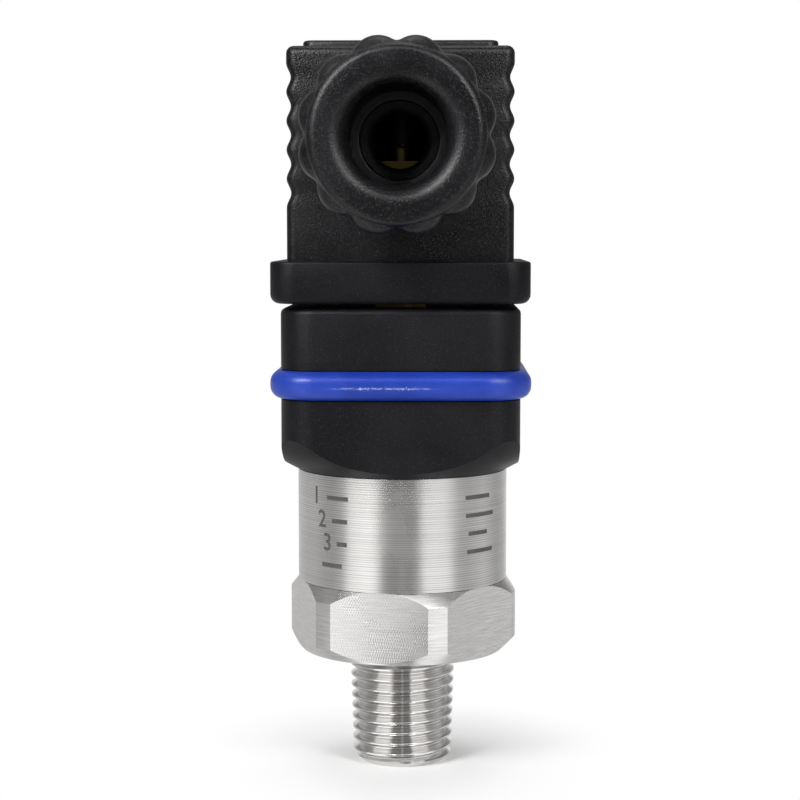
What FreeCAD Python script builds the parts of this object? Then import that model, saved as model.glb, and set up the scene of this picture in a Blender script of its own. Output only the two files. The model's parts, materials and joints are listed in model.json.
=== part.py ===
import FreeCAD, Part
import math
import os
from FreeCAD import Vector

# Pressure transmitter with a right-angle plug, in millimetres.
# +Z runs up the measuring axis, the cable gland points along -Y, and the
# origin is the centre of the pressure port at the lower end of the thread.

# ---------------------------------------------------------------- clearances
press_gap = 0.03        # radial, between pieces pressed or glued together
running_gap = 0.05      # radial, between a turning piece and its bore
slide_gap = 0.1         # each side of a piece that is pushed into a pocket
lift_gap = 0.6          # between the loose plug's gasket and the housing under it

# ------------------------------------------------- process connection (steel)
thread_d = 13.72        # crest diameter at the large end of the taper thread
thread_taper = 1 / 16   # loss of diameter for each millimetre of length
thread_length = 13.6
thread_end_d = 11.2     # end face inside the lead chamfer
thread_lead = 1.0       # height of the lead chamfer
neck_d = 11.4           # the thread runs out on a cone that ends at this diameter
neck_height = 1.5
hex_flats = 27.0
hex_land_d = 29.8       # turned diameter left on the six corners
hex_height = 9.2
hex_turn = 11.5         # degrees from the gland's direction to the nearest flat
hex_under_d = 26.4      # flat ring under the hexagon
hex_under_chamfer = 1.7
hex_top_chamfer = 1.6
port_d = 3.5
pocket_d = 18.4         # pocket for the measuring cell, open at the top
pocket_depth = 8.1
collar_height = 3.0     # turned collar that the case tube is welded to

# ------------------------------------------------------------------ case tube
tube_d = 27.3
tube_wall = 1.0
tube_length = 14.5

# ------------------------------------------------------------ inside the case
cell_height = 5.5
cell_gap = 0.05         # under the cell, where the seal stands proud
cell_seal_d = 12.0
cell_seal_bore = 8.8
cell_seal_recess = 1.5  # depth of the recess that holds the seal
clamp_height = 2.5
clamp_bore_d = 12.0
clamp_slot = 1.6        # width of the two spanner slots
lead_side = 0.6         # square wires
lead_circle_d = 7.0
lead_count = 4
board_thick = 1.2
sensor_board_margin = 1.15   # from the board's corners to the case tube
signal_board_margin = 0.45
chip_side = 7.0
chip_height = 1.2
header_length = 10.2
header_width = 2.5
header_inset = 4.2      # from the sensor board's side to the middle of the header

# ------------------------------------------------- adapter housing (moulded)
adapter_side = 30.0
adapter_corner = 4.4
adapter_height = 21.2
adapter_top_chamfer = 0.6
skirt_rise = 4.9        # height of the turned skirt under the square's corners
spigot_length = 6.0
spigot_bore_d = 19.8
shaft_side = 21.6       # square shaft inside the housing
shaft_corner = 2.0
shaft_depth = 16.0
ring_groove_depth = 1.6
ring_groove_height = 3.8
ring_centre_up = 11.7   # from the housing's lower edge to the ring's middle

# ------------------------------------------------------- identification ring
ring_thick = 2.92
ring_height = 3.6

# ------------------------------------------------------------ plug-in contacts
blade_width = 6.3
blade_thick = 0.8
blade_height = 11.0     # above the carrier's face
blade_tip = 1.0
earth_lead = 1.0        # how much further the earth blade stands out
contact_radius = 9.0
tail_width = 1.4
tail_below_board = 0.7
carrier_side = 24.0
carrier_corner = 2.0
carrier_plate = 3.0
carrier_boss = 4.0      # depth of the bosses under the plate
boss_wall = 0.9
centre_boss_side = 8.8
screw_insert_flats = 5.0   # six-sided brass insert
screw_insert_length = 6.4
screw_d = 2.9           # plain shank that stands for the M3 thread

# -------------------------------------------------------------- plug housing
plug_side = 28.0
plug_edge = 1.1         # radius on the upright edges
plug_top_edge = 0.6     # bevel round the top
plug_wall = 2.9
plug_top_wall = 2.2
plug_body_height = 29.9
cavity_corner = 1.2
panel_side = 24.1
panel_height = 0.8
grip_count = 5
grip_pitch = 3.53
grip_depth = 0.55
grip_top_gap = 3.8      # from the plug's top down to the middle of the first groove
gland_drop = 11.7       # from the plug's top down to the gland's axis
gland_boss_d = 19.0
gland_boss_reach = 22.4  # from the plug's axis to the mouth of the gland
gland_bore_d = 15.2
gland_floor = 1.3       # wall left between the gland and the wiring space
gland_floor_bore_d = 9.2
recess_d = 7.0          # driver recess in the top
recess_depth = 8.7
tower_wall = 0.9
tower_floor = 3.6       # thickness left under the driver recess
screw_hole_d = 3.3

# ------------------------------------------------------------ profile gasket
gasket_side = 32.2
gasket_corner = 3.2
gasket_height = 5.2
gasket_web = 1.6
gasket_under_edge = 0.7

# ------------------------------------------------------------- contact insert
insert_top_gap = 0.2
insert_block_height = 13.0
insert_rib = 1.6
insert_column_d = 6.4
insert_corner = 1.0
lug_width = 4.0
lug_height = 1.4
lug_reach = 0.4
lug_up = 2.8            # from the insert's face to the lug's lower edge

# ------------------------------------------------------- terminals and screws
socket_wall = 0.7
terminal_foot = 0.9     # from the insert's face up to the socket's mouth
terminal_slot_depth = 11.4
terminal_head_depth = 4.2
terminal_head_height = 4.5   # above the insert's block
terminal_screw_d = 4.0       # head of the clamping screw
terminal_screw_head = 1.6

# -------------------------------------------------------------- cable gland
seal_length = 4.6
seal_bore_d = 6.7
washer_bore_d = 9.4
washer_thick = 1.0
nut_gap = 1.6           # between the boss and the finger-tight nut
nut_head = 9.2
nut_rim_d = 20.6
nut_rim_height = 2.2
nut_rim_edge = 1.0
nut_valley_d = 21.3
nut_lobe_d = 23.1
nut_lobe_radius = 3.2
nut_lobe_count = 12
nut_bore_d = 11.6
nut_mouth = 1.2         # bevel at the mouth of the bore

# ------------------------------------------------------- central fixing screw
screw_travel = 5.5      # how far the loose screw stands above its seat
screw_length = 30.0
screw_head_d = 5.5
screw_head = 1.8
screw_slot = 0.8
screw_slot_depth = 0.9
screw_seal_d = 6.4
screw_seal_thick = 0.8

# ------------------------------------------------- heights worked out, upwards
hex_bottom = thread_length + neck_height
hex_top = hex_bottom + hex_height
collar_top = hex_top + collar_height
pocket_floor = collar_top - pocket_depth
seal_floor = pocket_floor - cell_seal_recess
cell_bottom = pocket_floor + cell_gap
cell_top = cell_bottom + cell_height
adapter_bottom = hex_top + tube_length
adapter_top = adapter_bottom + adapter_height
spigot_bottom = adapter_bottom - spigot_length
sensor_board_top = collar_top + board_thick
signal_board_top = spigot_bottom
signal_board_bottom = signal_board_top - board_thick
ring_centre = adapter_bottom + ring_centre_up
ring_bottom = ring_centre - ring_height / 2
ring_top = ring_centre + ring_height / 2
carrier_bottom = adapter_top - carrier_plate
carrier_boss_bottom = carrier_bottom - carrier_boss
blade_shoulder = carrier_boss_bottom + boss_wall
screw_insert_bottom = adapter_top - screw_insert_length
tail_bottom = signal_board_bottom - tail_below_board
gasket_bottom = adapter_top + lift_gap
gasket_top = gasket_bottom + gasket_height
plug_bottom = gasket_bottom + gasket_web
plug_top = plug_bottom + plug_body_height
panel_top = plug_top + panel_height
gland_axis = plug_top - gland_drop
seat_height = panel_top - recess_depth
tower_bottom = seat_height - tower_floor
cavity_top = plug_top - plug_top_wall
insert_face = gasket_bottom + slide_gap
insert_block_top = insert_face + insert_block_height
insert_top = tower_bottom - insert_top_gap
terminal_bottom = insert_face + terminal_foot
terminal_top = insert_block_top + terminal_head_height
screw_seal_bottom = seat_height + screw_travel
screw_seal_top = screw_seal_bottom + screw_seal_thick

# ------------------------------------------- reaches ahead of the plug's axis
gland_floor_face = plug_side / 2 - plug_wall + gland_floor
seal_back = gland_floor_face + press_gap
seal_front = seal_back + seal_length
washer_back = seal_front + running_gap
washer_front = washer_back + washer_thick
nut_tip = washer_front + running_gap
nut_back = gland_boss_reach + nut_gap
nut_front = nut_back + nut_head
shoulder_front = nut_front - nut_rim_height

# ------------------------------------------------------ widths and diameters
tube_bore_d = tube_d - 2 * tube_wall
sensor_board_d = tube_bore_d - 2 * sensor_board_margin
signal_board_d = tube_bore_d - 2 * signal_board_margin
spigot_d = tube_bore_d - 2 * press_gap
adapter_corner_reach = adapter_side / 2 * math.sqrt(2) - adapter_corner * (math.sqrt(2) - 1)
ring_groove_floor = adapter_side - 2 * ring_groove_depth
ring_groove_corner = adapter_corner - ring_groove_depth
ring_bore_corner = ring_groove_corner + press_gap
ring_bore_side = ring_groove_floor + 2 * press_gap
ring_side = ring_bore_side + 2 * ring_thick
ring_corner = ring_bore_corner + ring_thick
cavity_side = plug_side - 2 * plug_wall
tower_d = recess_d + 2 * tower_wall
insert_side = cavity_side - 4 * slide_gap
socket_thick = blade_thick + 2 * slide_gap + 2 * socket_wall
socket_width = blade_width + 2 * slide_gap + 2 * socket_wall
screw_place = contact_radius + socket_thick / 2 - terminal_head_depth / 2

upward = Vector(0, 0, 1)
centre = Vector(0, 0, 0)
same_height = 1e-4
contact_places = {"1": 180, "2": 0, "3": 270, "earth": 90}   # degrees round from +X


# ------------------------------------------------------------- shape helpers
def cylinder(diameter, bottom, top, centre_x=0.0):
    return Part.makeCylinder(diameter / 2, top - bottom, Vector(centre_x, 0, bottom))


def ring(outer_d, inner_d, bottom, top):
    return cylinder(outer_d, bottom, top).cut(cylinder(inner_d, bottom, top))


def block(width, depth, bottom, top, centre_x=0.0, centre_y=0.0):
    corner = Vector(centre_x - width / 2, centre_y - depth / 2, bottom)
    return Part.makeBox(width, depth, top - bottom, corner)


def revolve(outline):
    """Solid of revolution about Z from a closed outline of (radius, height) points."""
    points = [Vector(radius, 0, height) for radius, height in outline]
    face = Part.Face(Part.makePolygon(points + points[:1]))
    return face.revolve(centre, upward, 360)


def rounded_square(side, corner, height):
    """Wire of a square with arcs at its corners, at the given height."""
    half = side / 2
    flat = half - corner
    bow = corner * math.sqrt(0.5)
    edges = []
    for quarter in range(4):
        turn = FreeCAD.Rotation(upward, 90 * quarter)
        start = turn.multVec(Vector(-flat, -half, 0))
        end = turn.multVec(Vector(flat, -half, 0))
        middle = turn.multVec(Vector(flat + bow, -flat - bow, 0))
        after = turn.multVec(Vector(half, -flat, 0))
        edges.append(Part.makeLine(start, end))
        edges.append(Part.Arc(end, middle, after).toShape())
    wire = Part.Wire(edges)
    wire.translate(Vector(0, 0, height))
    return wire


def hexagon_prism(flats, bottom, top):
    """Six-sided prism with a corner towards +X."""
    corners = []
    for index in range(7):
        turn = math.radians(60 * index)
        corners.append(Vector(math.cos(turn), math.sin(turn), 0) * (flats / math.sqrt(3)))
    prism = Part.Face(Part.makePolygon(corners)).extrude(Vector(0, 0, top - bottom))
    prism.translate(Vector(0, 0, bottom))
    return prism


def square_prism(side, corner, bottom, top):
    face = Part.Face(rounded_square(side, corner, bottom))
    return face.extrude(Vector(0, 0, top - bottom))


def bevelled(shape, size, height):
    """The shape with a bevel on every edge that lies flat at this height."""
    level = []
    for edge in shape.Edges:
        box = edge.BoundBox
        if abs(box.ZMin - height) < same_height and abs(box.ZMax - height) < same_height:
            level.append(edge)
    return shape.makeChamfer(size, level)


def around(shape, degrees):
    """The shape turned about the measuring axis."""
    turned = shape.copy()
    turned.rotate(centre, upward, degrees)
    return turned


def to_gland(shape):
    """Stand a shape built on Z along the gland: its heights become reach along -Y."""
    turned = shape.copy()
    turned.rotate(centre, Vector(1, 0, 0), 90)
    turned.translate(Vector(0, 0, gland_axis))
    return turned


# ------------------------------------------------------- process connection
def process_connection():
    lead_d = thread_d - (thread_length - thread_lead) * thread_taper
    seal_recess_d = cell_seal_d + 2 * press_gap
    blank = revolve([
        (port_d / 2, 0),
        (thread_end_d / 2, 0),
        (lead_d / 2, thread_lead),
        (thread_d / 2, thread_length),
        (neck_d / 2, hex_bottom),
        (hex_under_d / 2, hex_bottom),
        (hex_land_d / 2, hex_bottom + hex_under_chamfer),
        (hex_land_d / 2, hex_top - hex_top_chamfer),
        (tube_d / 2, hex_top),
        (spigot_d / 2, hex_top),
        (spigot_d / 2, collar_top),
        (pocket_d / 2, collar_top),
        (pocket_d / 2, pocket_floor),
        (seal_recess_d / 2, pocket_floor),
        (seal_recess_d / 2, seal_floor),
        (port_d / 2, seal_floor),
    ])
    return blank.cut(hexagon_waste())


def hexagon_waste():
    """What milling takes off the turned blank to leave six flats."""
    hexagon = around(hexagon_prism(hex_flats, hex_bottom, hex_top), -hex_turn)
    return cylinder(2 * hex_land_d, hex_bottom, hex_top).cut(hexagon)


def case_tube():
    return ring(tube_d, tube_bore_d, hex_top, adapter_bottom)


# ------------------------------------------------- measuring cell and boards
def sensor_cell():
    return cylinder(pocket_d - 2 * slide_gap, cell_bottom, cell_top)


def sensor_seal():
    return ring(cell_seal_d, cell_seal_bore, seal_floor + press_gap, cell_bottom - press_gap)


def cell_clamp_ring():
    clamp_top = cell_top + clamp_height
    clamp = ring(pocket_d - 2 * press_gap, clamp_bore_d, cell_top, clamp_top)
    return clamp.cut(block(pocket_d, clamp_slot, cell_top + clamp_height / 2, clamp_top))


def cell_leads():
    leads = []
    for index in range(lead_count):
        lead = block(lead_side, lead_side, cell_top, collar_top, lead_circle_d / 2)
        leads.append(around(lead, 45 + 360 / lead_count * index))
    return Part.makeCompound(leads)


def octagon_width(corners_d):
    """Distance between opposite sides of an octagon with its corners on a circle."""
    return corners_d * math.cos(math.radians(22.5))


def octagonal_board(corners_d, bottom, top):
    """Board cut to eight sides, with its corners on a circle."""
    width = octagon_width(corners_d)
    square = block(width, width, bottom, top)
    return square.common(around(square, 45))


def sensor_board():
    return octagonal_board(sensor_board_d, collar_top, sensor_board_top)


def signal_chip():
    return block(chip_side, chip_side, sensor_board_top, sensor_board_top + chip_height)


def board_header():
    middle = octagon_width(sensor_board_d) / 2 - header_inset
    return block(header_length, header_width, sensor_board_top, signal_board_bottom, 0, middle)


def signal_board():
    board = octagonal_board(signal_board_d, signal_board_bottom, signal_board_top)
    thick = blade_thick + slide_gap
    wide = tail_width + slide_gap
    hole = block(thick, wide, signal_board_bottom, signal_board_top, contact_radius)
    for degrees in contact_places.values():
        board = board.cut(around(hole, degrees))
    return board


# ----------------------------------------------------------- adapter housing
def skirt():
    """Turned envelope: its lower cone takes the corners off the square housing."""
    slope = skirt_rise / (adapter_corner_reach - tube_d / 2)
    outer = adapter_side
    return revolve([
        (0, adapter_bottom),
        (tube_d / 2, adapter_bottom),
        (outer, adapter_bottom + slope * (outer - tube_d / 2)),
        (outer, adapter_top + adapter_side),
        (0, adapter_top + adapter_side),
    ])


def adapter_housing():
    body = square_prism(adapter_side, adapter_corner, adapter_bottom, adapter_top)
    body = bevelled(body, adapter_top_chamfer, adapter_top)
    body = body.common(skirt()).cut(ring_groove())
    spigot = cylinder(spigot_d, spigot_bottom, adapter_bottom)
    body = body.fuse(spigot).removeSplitter()
    pocket = square_prism(carrier_side + 2 * slide_gap, carrier_corner, carrier_bottom, adapter_top)
    shaft = square_prism(shaft_side, shaft_corner, adapter_top - shaft_depth, carrier_bottom)
    bore = cylinder(spigot_bore_d, spigot_bottom, carrier_bottom)
    return body.cut(pocket).cut(shaft).cut(bore)


def ring_groove():
    low = ring_centre - ring_groove_height / 2
    high = ring_centre + ring_groove_height / 2
    core = square_prism(ring_groove_floor, ring_groove_corner, low, high)
    return block(2 * adapter_side, 2 * adapter_side, low, high).cut(core)


def identification_ring():
    """Elastic band that is stretched into its groove."""
    band = square_prism(ring_side, ring_corner, ring_bottom, ring_top)
    return band.cut(square_prism(ring_bore_side, ring_bore_corner, ring_bottom, ring_top))


# ------------------------------------------------- contacts and their carrier
def contact_blade(lead=0.0):
    """Flat blade standing on a narrow solder tail, at the +X contact place."""
    wide = blade_width / 2
    tail = tail_width / 2
    tip = adapter_top + blade_height + lead
    outline = [
        (-wide + blade_tip, tip), (wide - blade_tip, tip), (wide, tip - blade_tip),
        (wide, blade_shoulder), (tail, blade_shoulder), (tail, tail_bottom),
        (-tail, tail_bottom), (-tail, blade_shoulder), (-wide, blade_shoulder), (-wide, tip - blade_tip),
    ]
    points = [Vector(contact_radius - blade_thick / 2, across, height) for across, height in outline]
    return Part.Face(Part.makePolygon(points + points[:1])).extrude(Vector(blade_thick, 0, 0))


def contact_slot():
    """Slot for one blade with its tail, through the carrier at the +X place."""
    thick = blade_thick + 2 * press_gap
    blade_slot = block(thick, blade_width + 2 * press_gap, blade_shoulder, adapter_top, contact_radius)
    tail_slot = block(thick, tail_width + 2 * press_gap, carrier_boss_bottom, blade_shoulder, contact_radius)
    return blade_slot.fuse(tail_slot)


def contact_carrier():
    plate = square_prism(carrier_side, carrier_corner, carrier_bottom, adapter_top)
    plate = plate.fuse(block(centre_boss_side, centre_boss_side, carrier_boss_bottom, carrier_bottom))
    thick = blade_thick + 2 * boss_wall
    wide = blade_width + 2 * boss_wall
    boss = block(thick, wide, carrier_boss_bottom, carrier_bottom, contact_radius)
    for degrees in contact_places.values():
        plate = plate.fuse(around(boss, degrees))
    plate = plate.removeSplitter()
    for degrees in contact_places.values():
        plate = plate.cut(around(contact_slot(), degrees))
    return plate.cut(hexagon_prism(screw_insert_flats + 2 * press_gap, screw_insert_bottom, adapter_top))


def screw_insert():
    insert = hexagon_prism(screw_insert_flats, screw_insert_bottom, adapter_top)
    return insert.cut(cylinder(screw_d + 2 * running_gap, screw_insert_bottom, adapter_top))


# -------------------------------------------------------------- plug housing
def grip_wave():
    """Waste beside the +X face: a wave of equal arcs, with one trough for each grip groove."""
    face = plug_side / 2
    quarter = grip_pitch / 4
    start = Vector(face, 0, plug_top - grip_top_gap + 2 * quarter)
    crest = start
    edges = []
    for index in range(grip_count):
        upper = crest + Vector(-grip_depth / 2, 0, -quarter)
        trough = crest + Vector(-grip_depth, 0, -2 * quarter)
        lower = crest + Vector(-grip_depth / 2, 0, -3 * quarter)
        next_crest = crest + Vector(0, 0, -grip_pitch)
        edges.append(crest_arc(crest, upper))
        edges.append(Part.Arc(upper, trough, lower).toShape())
        edges.append(crest_arc(next_crest, lower))
        crest = next_crest
    outside = Vector(1, 0, 0)
    edges.append(Part.makeLine(crest, crest + outside))
    edges.append(Part.makeLine(crest + outside, start + outside))
    edges.append(Part.makeLine(start + outside, start))
    waste = Part.Face(Part.Wire(Part.__sortEdges__(edges))).extrude(Vector(0, plug_side, 0))
    waste.translate(Vector(0, -plug_side / 2, 0))
    return waste


def crest_arc(crest, shoulder):
    """Arc from a crest, where it stands upright, down to the shoulder of a groove."""
    run = abs(shoulder.z - crest.z)
    drop = crest.x - shoulder.x
    radius = (run ** 2 + drop ** 2) / (2 * drop)
    half_angle = math.asin(run / radius) / 2
    side = 1 if shoulder.z > crest.z else -1
    inward = radius * (1 - math.cos(half_angle))
    along = side * radius * math.sin(half_angle)
    return Part.Arc(crest, crest + Vector(-inward, 0, along), shoulder).toShape()


def plug_shell():
    """Outer form: a block with wavy sides, a raised panel and the gland's boss."""
    shell = square_prism(plug_side, plug_edge, plug_bottom, plug_top)
    shell = bevelled(shell, plug_top_edge, plug_top)
    shell = shell.cut(grip_wave()).cut(around(grip_wave(), 180))
    panel = square_prism(panel_side, plug_edge, plug_top, panel_top)
    boss = cylinder(gland_boss_d, cavity_side / 2, gland_boss_reach)
    return shell.fuse([panel, to_gland(boss)]).removeSplitter()


def plug_housing():
    tower = cylinder(tower_d, tower_bottom, panel_top)
    cavity = square_prism(cavity_side, cavity_corner, plug_bottom, cavity_top).cut(tower)
    wire_hole = to_gland(cylinder(gland_floor_bore_d, 0, gland_floor_face)).cut(tower)
    housing = plug_shell().cut(cavity).cut(wire_hole)
    housing = housing.cut(to_gland(cylinder(gland_bore_d, gland_floor_face, gland_boss_reach)))
    housing = housing.cut(cylinder(recess_d, seat_height, panel_top))
    housing = housing.cut(cylinder(screw_hole_d, tower_bottom, seat_height))
    for degrees in (0, 180):
        housing = housing.cut(around(snap_lug(slide_gap), degrees))
    return housing


def snap_lug(spare=0.0):
    """Lug on the +X side of the insert; with spare, the notch that it snaps into."""
    reach = cavity_side / 2 + lug_reach + spare
    inner = insert_side / 2 - lug_reach
    low = insert_face + lug_up - spare
    high = low + lug_height + 2 * spare
    return block(reach - inner, lug_width + 2 * spare, low, high, (reach + inner) / 2)


def profile_gasket():
    collar = square_prism(gasket_side, gasket_corner, gasket_bottom, gasket_top)
    collar = bevelled(collar, gasket_under_edge, gasket_bottom)
    seat = square_prism(plug_side + 2 * press_gap, plug_edge, plug_bottom, gasket_top)
    window = square_prism(cavity_side, cavity_corner, gasket_bottom, plug_bottom)
    return collar.cut(seat).cut(window)


# ------------------------------------------------------------- contact insert
def contact_insert():
    """Block with four contact pockets, and above it ribs that part the wires."""
    insert = square_prism(insert_side, insert_corner, insert_face, insert_block_top)
    insert = insert.fuse(cylinder(insert_column_d, insert_block_top, insert_top))
    diagonal = math.sqrt(2) * (insert_side - 2 * insert_corner)
    for degrees in (45, 135):
        rib = block(diagonal, insert_rib, insert_block_top, insert_top)
        insert = insert.fuse(around(rib, degrees))
    insert = insert.fuse([snap_lug(), around(snap_lug(), 180)]).removeSplitter()
    for degrees in contact_places.values():
        insert = insert.cut(around(contact_pocket(), degrees))
    return insert.cut(cylinder(screw_hole_d, insert_face, insert_top))


def contact_pocket():
    """Pocket for one terminal, at the +X place, with the blade's narrower mouth under it."""
    mouth_thick = blade_thick + 4 * slide_gap
    mouth_wide = blade_width + 4 * slide_gap
    mouth = block(mouth_thick, mouth_wide, insert_face, terminal_bottom, contact_radius)
    thick = socket_thick + 2 * press_gap
    wide = socket_width + 2 * press_gap
    return mouth.fuse(block(thick, wide, terminal_bottom, insert_block_top, contact_radius))


def terminal():
    """Brass socket for one blade, with a clamping head and its screw on top, at the +X place."""
    socket = block(socket_thick, socket_width, terminal_bottom, insert_block_top, contact_radius)
    head = block(terminal_head_depth, socket_width, insert_block_top, terminal_top, screw_place)
    screw = cylinder(terminal_screw_d, terminal_top, terminal_top + terminal_screw_head, screw_place)
    body = socket.fuse([head, screw]).removeSplitter()
    slot_top = terminal_bottom + terminal_slot_depth
    thick = blade_thick + 2 * slide_gap
    wide = blade_width + 2 * slide_gap
    return body.cut(block(thick, wide, terminal_bottom, slot_top, contact_radius))


# ------------------------------------------- cable gland, built upright on Z
def gland_seal():
    return to_gland(ring(gland_bore_d - 2 * running_gap, seal_bore_d, seal_back, seal_front))


def gland_washer():
    return to_gland(ring(gland_bore_d - 3 * running_gap, washer_bore_d, washer_back, washer_front))


def lobe_outline():
    """Closed outline of the nut: round lobes with short arcs of the valley circle between."""
    valley = nut_valley_d / 2
    tip = nut_lobe_d / 2
    lobe_centre = tip - nut_lobe_radius
    cosine = (valley ** 2 + lobe_centre ** 2 - nut_lobe_radius ** 2) / (2 * valley * lobe_centre)
    lobe_half = math.acos(cosine)
    step = 2 * math.pi / nut_lobe_count

    def at(radius, angle):
        return Vector(radius * math.cos(angle), radius * math.sin(angle), nut_back)

    edges = []
    for index in range(nut_lobe_count):
        middle = (index + 0.5) * step
        start = at(valley, middle - lobe_half)
        end = at(valley, middle + lobe_half)
        next_start = at(valley, middle + step - lobe_half)
        edges.append(Part.Arc(start, at(tip, middle), end).toShape())
        edges.append(Part.Arc(end, at(valley, middle + step / 2), next_start).toShape())
    return Part.Wire(edges)


def gland_nut():
    """Threaded stem, a lobed grip and a round rim, with the cable's bore right through."""
    stem = cylinder(gland_bore_d - 2 * running_gap, nut_tip, nut_back)
    grip = Part.Face(lobe_outline()).extrude(Vector(0, 0, shoulder_front - nut_back))
    rim = cylinder(nut_rim_d, shoulder_front, nut_front)
    rim = bevelled(rim, nut_rim_edge, nut_front)
    nut = stem.fuse([grip, rim]).removeSplitter()
    return to_gland(nut.cut(nut_bore()))


def nut_bore():
    """Bore of the nut with a bevelled mouth."""
    return revolve([
        (0, nut_tip),
        (nut_bore_d / 2, nut_tip),
        (nut_bore_d / 2, nut_front - nut_mouth),
        (nut_bore_d / 2 + nut_mouth, nut_front),
        (0, nut_front),
    ])


# ------------------------------------------------------- central fixing screw
def screw_seal():
    return ring(screw_seal_d, screw_d + 2 * running_gap, screw_seal_bottom, screw_seal_top)


def fixing_screw():
    low = screw_seal_top + running_gap
    top = low + screw_head
    shank = cylinder(screw_d, low - screw_length, low)
    head = cylinder(screw_head_d, low, top)
    slot = block(screw_slot, 2 * screw_head_d, top - screw_slot_depth, top)
    return shank.fuse(head).cut(slot)


# -------------------------------------------------------------- write the set
def save(name, shape):
    shape.exportStep(os.path.join("parts", name + ".step"))
    print(name, "solids", len(shape.Solids), "volume", round(shape.Volume, 2))


def main():
    os.makedirs("parts", exist_ok=True)
    save("process_connection", process_connection())
    save("case_tube", case_tube())
    save("sensor_cell", sensor_cell())
    save("sensor_seal", sensor_seal())
    save("cell_clamp_ring", cell_clamp_ring())
    save("cell_leads", cell_leads())
    save("sensor_board", sensor_board())
    save("signal_chip", signal_chip())
    save("board_header", board_header())
    save("signal_board", signal_board())
    save("adapter_housing", adapter_housing())
    save("identification_ring", identification_ring())
    save("contact_carrier", contact_carrier())
    save("screw_insert", screw_insert())
    save("plug_housing", plug_housing())
    save("profile_gasket", profile_gasket())
    save("contact_insert", contact_insert())
    save("gland_seal", gland_seal())
    save("gland_washer", gland_washer())
    save("gland_nut", gland_nut())
    save("screw_seal", screw_seal())
    save("fixing_screw", fixing_screw())
    for name, degrees in contact_places.items():
        lead = earth_lead if name == "earth" else 0.0
        save("contact_blade_" + name, around(contact_blade(lead), degrees))
        save("terminal_" + name, around(terminal(), degrees))


main()
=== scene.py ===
# %% [markdown]
# # A pressure transmitter with a right-angle plug
#
# The steel end screws into a pipe, a round case holds the measuring cell, and
# a square moulded housing carries the flat contacts. A plug with a cable gland
# sits on those contacts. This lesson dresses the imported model: each visible
# piece gets its small radii, grooves and threads, and each finish is made from
# nodes.

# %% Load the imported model
import bpy
import bmesh
import json
from math import atan2, ceil, cos, hypot, pi, radians, sin, sqrt, tan
from mathutils import Matrix, Vector


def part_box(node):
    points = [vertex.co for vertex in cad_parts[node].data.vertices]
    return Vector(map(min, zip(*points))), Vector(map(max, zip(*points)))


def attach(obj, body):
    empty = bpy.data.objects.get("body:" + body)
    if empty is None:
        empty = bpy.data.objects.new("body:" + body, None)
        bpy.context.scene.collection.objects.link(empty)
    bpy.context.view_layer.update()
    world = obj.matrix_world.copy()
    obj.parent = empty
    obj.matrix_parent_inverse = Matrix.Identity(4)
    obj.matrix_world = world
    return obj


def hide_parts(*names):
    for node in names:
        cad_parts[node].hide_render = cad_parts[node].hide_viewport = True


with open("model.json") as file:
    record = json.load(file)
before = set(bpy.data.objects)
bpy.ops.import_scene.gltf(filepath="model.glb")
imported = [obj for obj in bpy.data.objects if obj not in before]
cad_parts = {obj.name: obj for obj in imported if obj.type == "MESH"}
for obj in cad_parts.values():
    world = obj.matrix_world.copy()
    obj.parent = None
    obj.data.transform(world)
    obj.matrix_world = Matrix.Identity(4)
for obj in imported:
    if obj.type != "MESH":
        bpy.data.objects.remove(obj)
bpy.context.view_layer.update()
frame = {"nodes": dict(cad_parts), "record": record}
mm = 0.001
weld = 1e-4             # points closer than this, in millimetres, are one

# %% [markdown]
# ## Measuring the frame
#
# Every node keeps its place in its mesh, so its box says where a new piece
# goes. The lesson works in millimetres, which are easier to read on a part of
# this size, and each piece is scaled to metres when it is finished.

# %% Boxes in millimetres
def low_high(node):
    """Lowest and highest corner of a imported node, in millimetres."""
    low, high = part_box(node)
    return low / mm, high / mm


collar_top = low_high("process_connection")[1].z
tube_low, tube_high = low_high("case_tube")
adapter_low, adapter_high = low_high("adapter_housing")
band_low, band_high = low_high("identification_ring")
gasket_low, gasket_high = low_high("profile_gasket")
plug_low, plug_high = low_high("plug_housing")
nut_low, nut_high = low_high("gland_nut")
gland_axis = (nut_low.z + nut_high.z) / 2
print("tube", round(tube_low.z, 2), round(tube_high.z, 2), "gland axis", round(gland_axis, 2))

# %% [markdown]
# ## From an outline to a turned piece
#
# Most of the steel and the whole gland are turned shapes. A turned shape could
# be a cylinder with edited rings, but an outline that is spun once about its
# axis is closer to how a lathe makes it, and its small radii come for free.
# The helper below puts an arc at each corner that asks for one.

# %% Outlines with rounded corners
def rounded_outline(corners, arc_steps=5):
    """Points of a closed outline from (radius, height, rounding) corners."""
    points = []
    count = len(corners)
    for index, (radius, height, rounding) in enumerate(corners):
        here = Vector((radius, height))
        before = Vector(corners[index - 1][:2]) - here
        after = Vector(corners[(index + 1) % count][:2]) - here
        if not rounding:
            points.append(here)
            continue
        half = before.angle(after) / 2
        start = here + before.normalized() * rounding / tan(half)
        end = here + after.normalized() * rounding / tan(half)
        middle = here + (before.normalized() + after.normalized()).normalized() * rounding / sin(half)
        turn = (start - middle).angle_signed(end - middle)
        for step in range(arc_steps + 1):
            arm = start - middle
            arm.rotate(Matrix.Rotation(-turn * step / arc_steps, 2))
            points.append(middle + arm)
    return points


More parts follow.
